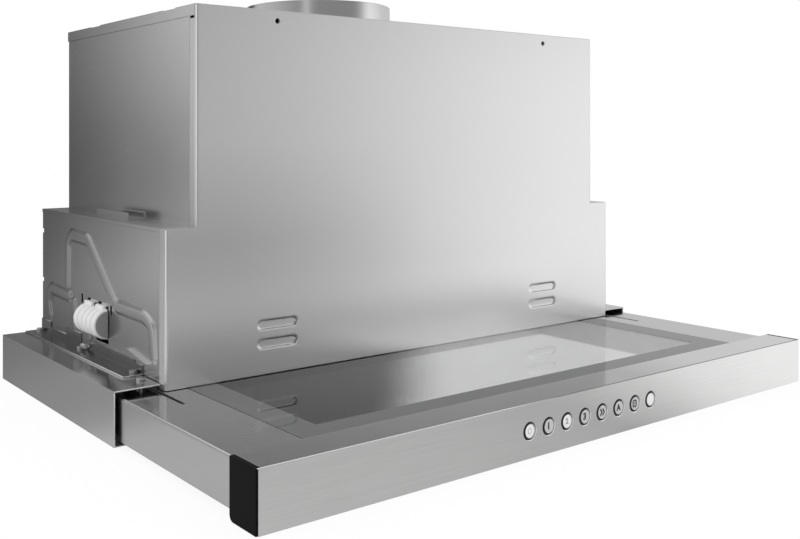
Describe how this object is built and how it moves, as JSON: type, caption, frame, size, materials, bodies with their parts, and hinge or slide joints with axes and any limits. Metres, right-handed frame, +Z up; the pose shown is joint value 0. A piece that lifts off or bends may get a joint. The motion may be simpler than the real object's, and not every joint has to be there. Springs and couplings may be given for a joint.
{
  "type": "pull-out range hood",
  "caption": "Range hood for a wall cabinet, with a pull-out glass tray on ball slides, push buttons, grease filters, a fan in a stepped steel body and a round duct spigot.",
  "frame": {"origin": "middle of the base, on the plane that the fascia and the rail covers stand on, with the tray pulled out", "axes": "+X to the right as seen from the front, -Y towards the front (the tray pulls out along -Y), +Z up along the duct spigot"},
  "size_m": [0.598, 0.4474, 0.361],
  "materials": {
    "front_steel": "fine vertical brushing, satin",
    "tray_steel": "satin",
    "galvanised_steel": "dull galvanised sheet",
    "spigot_steel": "satin",
    "black_plastic": "fine grain",
    "motor_steel": "satin",
    "capacitor_shell": "satin",
    "box_plastic": "matt",
    "circuit_board": "lacquered",
    "screw_steel": "bright plated",
    "white_plastic": "satin",
    "lamp_rim": "satin",
    "lamp_lens": "frosted",
    "gasket_rubber": "matt",
    "smoked_glass": "polished",
    "button_plastic": "satin silver",
    "magnet": "bright plated",
    "filter_aluminium": "satin"
  },
  "bodies": {
    "hood_body": {"front_panel": "front_steel", "side_panel_left": "galvanised_steel", "side_panel_right": "galvanised_steel", "rear_panel": "galvanised_steel", "top_lid": "galvanised_steel", "bottom_plate": "galvanised_steel", "duct_spigot": "spigot_steel", "fan_housing": "galvanised_steel", "fan_motor": "motor_steel", "motor_bracket": "galvanised_steel", "motor_capacitor": "capacitor_shell", "control_box": "box_plastic", "control_board": "circuit_board", "mains_gland": "black_plastic", "rail_cover_left": "galvanised_steel", "rail_cover_right": "galvanised_steel", "rail_bracket_left": "galvanised_steel", "rail_bracket_right": "galvanised_steel", "slide_hanger_left": "galvanised_steel", "slide_hanger_right": "galvanised_steel", "slide_fixed_left": "galvanised_steel", "slide_fixed_right": "galvanised_steel", "body_screws": "screw_steel", "lamp_left": "lamp_rim", "lamp_right": "lamp_rim", "lamp_lenses": "lamp_lens", "tray_switch": "black_plastic"},
    "tray": {"slide_tray_left": "galvanised_steel", "slide_tray_right": "galvanised_steel", "tray_frame": "tray_steel", "window_frame": "galvanised_steel", "glass_gasket": "gasket_rubber", "glass_pane": "smoked_glass", "fascia_panel": "front_steel", "end_cap_left": "black_plastic", "end_cap_right": "black_plastic", "button_housing": "black_plastic", "button_board": "circuit_board", "switch_magnet": "magnet"},
    "mid_left": {"slide_mid_left": "galvanised_steel"},
    "mid_right": {"slide_mid_right": "galvanised_steel"},
    "impeller": {"fan_impeller": "black_plastic"},
    "front_flap": {"flap_front": "black_plastic"},
    "rear_flap": {"flap_rear": "black_plastic"},
    "clamp_left": {"side_clamp_left": "white_plastic"},
    "clamp_right": {"side_clamp_right": "white_plastic"},
    "filter_left": {"filter_frame_left": "filter_aluminium", "filter_mesh_left": "filter_aluminium"},
    "filter_right": {"filter_frame_right": "filter_aluminium", "filter_mesh_right": "filter_aluminium"},
    "latch_left": {"filter_latch_left": "black_plastic"},
    "latch_right": {"filter_latch_right": "black_plastic"},
    "push_button_1": {"button_1": "button_plastic"},
    "push_button_2": {"button_2": "button_plastic"},
    "push_button_3": {"button_3": "button_plastic"},
    "push_button_4": {"button_4": "button_plastic"},
    "push_button_5": {"button_5": "button_plastic"},
    "push_button_6": {"button_6": "button_plastic"},
    "push_button_7": {"button_7": "button_plastic"},
    "push_button_8": {"button_8": "button_plastic"}
  },
  "joints": [
    {"name": "tray_slide", "type": "slide", "parent": "hood_body", "child": "tray", "axis": [0, 1, 0], "range_m": [0, 0.1575]},
    {"name": "mid_slide_left", "type": "slide", "parent": "hood_body", "child": "mid_left", "axis": [0, 1, 0], "range_m": [0, 0.07875]},
    {"name": "mid_slide_right", "type": "slide", "parent": "hood_body", "child": "mid_right", "axis": [0, 1, 0], "range_m": [0, 0.07875]},
    {"name": "press_button_1", "type": "slide", "parent": "tray", "child": "push_button_1", "axis": [0, 1, 0], "range_m": [0, 0.0012], "stiffness_N_per_m": 600, "springref_m": -0.001},
    {"name": "press_button_2", "type": "slide", "parent": "tray", "child": "push_button_2", "axis": [0, 1, 0], "range_m": [0, 0.0012], "stiffness_N_per_m": 600, "springref_m": -0.001},
    {"name": "press_button_3", "type": "slide", "parent": "tray", "child": "push_button_3", "axis": [0, 1, 0], "range_m": [0, 0.0012], "stiffness_N_per_m": 600, "springref_m": -0.001},
    {"name": "press_button_4", "type": "slide", "parent": "tray", "child": "push_button_4", "axis": [0, 1, 0], "range_m": [0, 0.0012], "stiffness_N_per_m": 600, "springref_m": -0.001},
    {"name": "press_button_5", "type": "slide", "parent": "tray", "child": "push_button_5", "axis": [0, 1, 0], "range_m": [0, 0.0012], "stiffness_N_per_m": 600, "springref_m": -0.001},
    {"name": "press_button_6", "type": "slide", "parent": "tray", "child": "push_button_6", "axis": [0, 1, 0], "range_m": [0, 0.0012], "stiffness_N_per_m": 600, "springref_m": -0.001},
    {"name": "press_button_7", "type": "slide", "parent": "tray", "child": "push_button_7", "axis": [0, 1, 0], "range_m": [0, 0.0012], "stiffness_N_per_m": 600, "springref_m": -0.001},
    {"name": "press_button_8", "type": "slide", "parent": "tray", "child": "push_button_8", "axis": [0, 1, 0], "range_m": [0, 0.0012], "stiffness_N_per_m": 600, "springref_m": -0.001},
    {"name": "impeller_spin", "type": "hinge", "parent": "hood_body", "child": "impeller", "pos_m": [0, 0.08125, 0.1875], "axis": [1, 0, 0], "continuous": true},
    {"name": "front_flap_lift", "type": "hinge", "parent": "hood_body", "child": "front_flap", "pos_m": [0, 0.12675, 0.33675], "axis": [-1, 0, 0], "range_deg": [0, 78]},
    {"name": "rear_flap_lift", "type": "hinge", "parent": "hood_body", "child": "rear_flap", "pos_m": [0, 0.13175, 0.33675], "axis": [1, 0, 0], "range_deg": [0, 78]},
    {"name": "clamp_tilt_left", "type": "hinge", "parent": "hood_body", "child": "clamp_left", "pos_m": [-0.25975, 0.0925, 0.0851], "axis": [0, 1, 0], "range_deg": [0, 12]},
    {"name": "clamp_tilt_right", "type": "hinge", "parent": "hood_body", "child": "clamp_right", "pos_m": [0.25975, 0.0925, 0.0851], "axis": [0, -1, 0], "range_deg": [0, 12]},
    {"name": "filter_drop_left", "type": "hinge", "parent": "hood_body", "child": "filter_left", "pos_m": [-0.12812, 0.21825, 0.0394], "axis": [-1, 0, 0], "range_deg": [-45, 0]},
    {"name": "latch_slide_left", "type": "slide", "parent": "filter_left", "child": "latch_left", "axis": [0, 1, 0], "range_m": [-0.004, 0]},
    {"name": "filter_drop_right", "type": "hinge", "parent": "hood_body", "child": "filter_right", "pos_m": [0.12812, 0.21825, 0.0394], "axis": [-1, 0, 0], "range_deg": [-45, 0]},
    {"name": "latch_slide_right", "type": "slide", "parent": "filter_right", "child": "latch_right", "axis": [0, 1, 0], "range_m": [-0.004, 0]}
  ],
  "couplings": [
    {"joint": "mid_slide_left", "follows": "tray_slide", "ratio": 0.5},
    {"joint": "mid_slide_right", "follows": "tray_slide", "ratio": 0.5}
  ]
}
